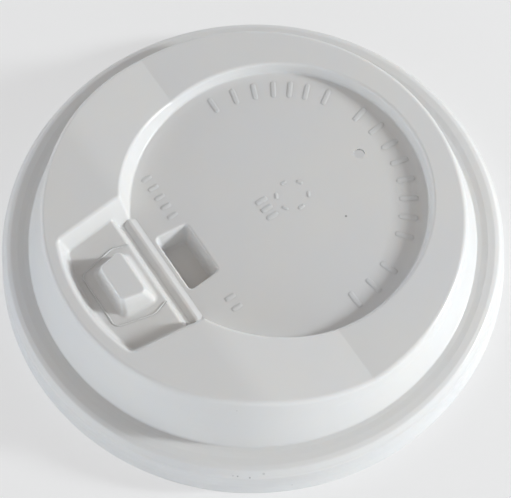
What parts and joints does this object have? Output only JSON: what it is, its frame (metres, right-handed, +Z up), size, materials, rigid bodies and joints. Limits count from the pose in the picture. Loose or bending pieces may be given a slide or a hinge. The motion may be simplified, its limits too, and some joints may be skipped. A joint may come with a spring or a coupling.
{
  "type": "coffee cup lid",
  "caption": "Domed takeaway cup lid of thin formed plastic whose top ring climbs a ramp to a raised drinking side, with a sunk round table, a drinking pocket and a tab that folds back and locks",
  "frame": {"origin": "centre of the skirt's bottom edge, on the lid's vertical axis", "axes": "+Z up along the lid's axis, -Y towards the drinking tab, +Y towards the vent hole, X across, so the lid mirrors in the plane X=0"},
  "size_m": [0.093, 0.093, 0.0198],
  "materials": {
    "lid_sheet": "glossy white polystyrene sheet"
  },
  "bodies": {
    "lid": {"lid_shell": "lid_sheet"},
    "tab": {"drink_tab": "lid_sheet"}
  },
  "joints": [
    {"name": "tab_fold", "type": "hinge", "parent": "lid", "child": "tab", "pos_m": [0, -0.01975, 0.01515], "axis": [-1, 0, 0], "range_deg": [0, 180]}
  ]
}
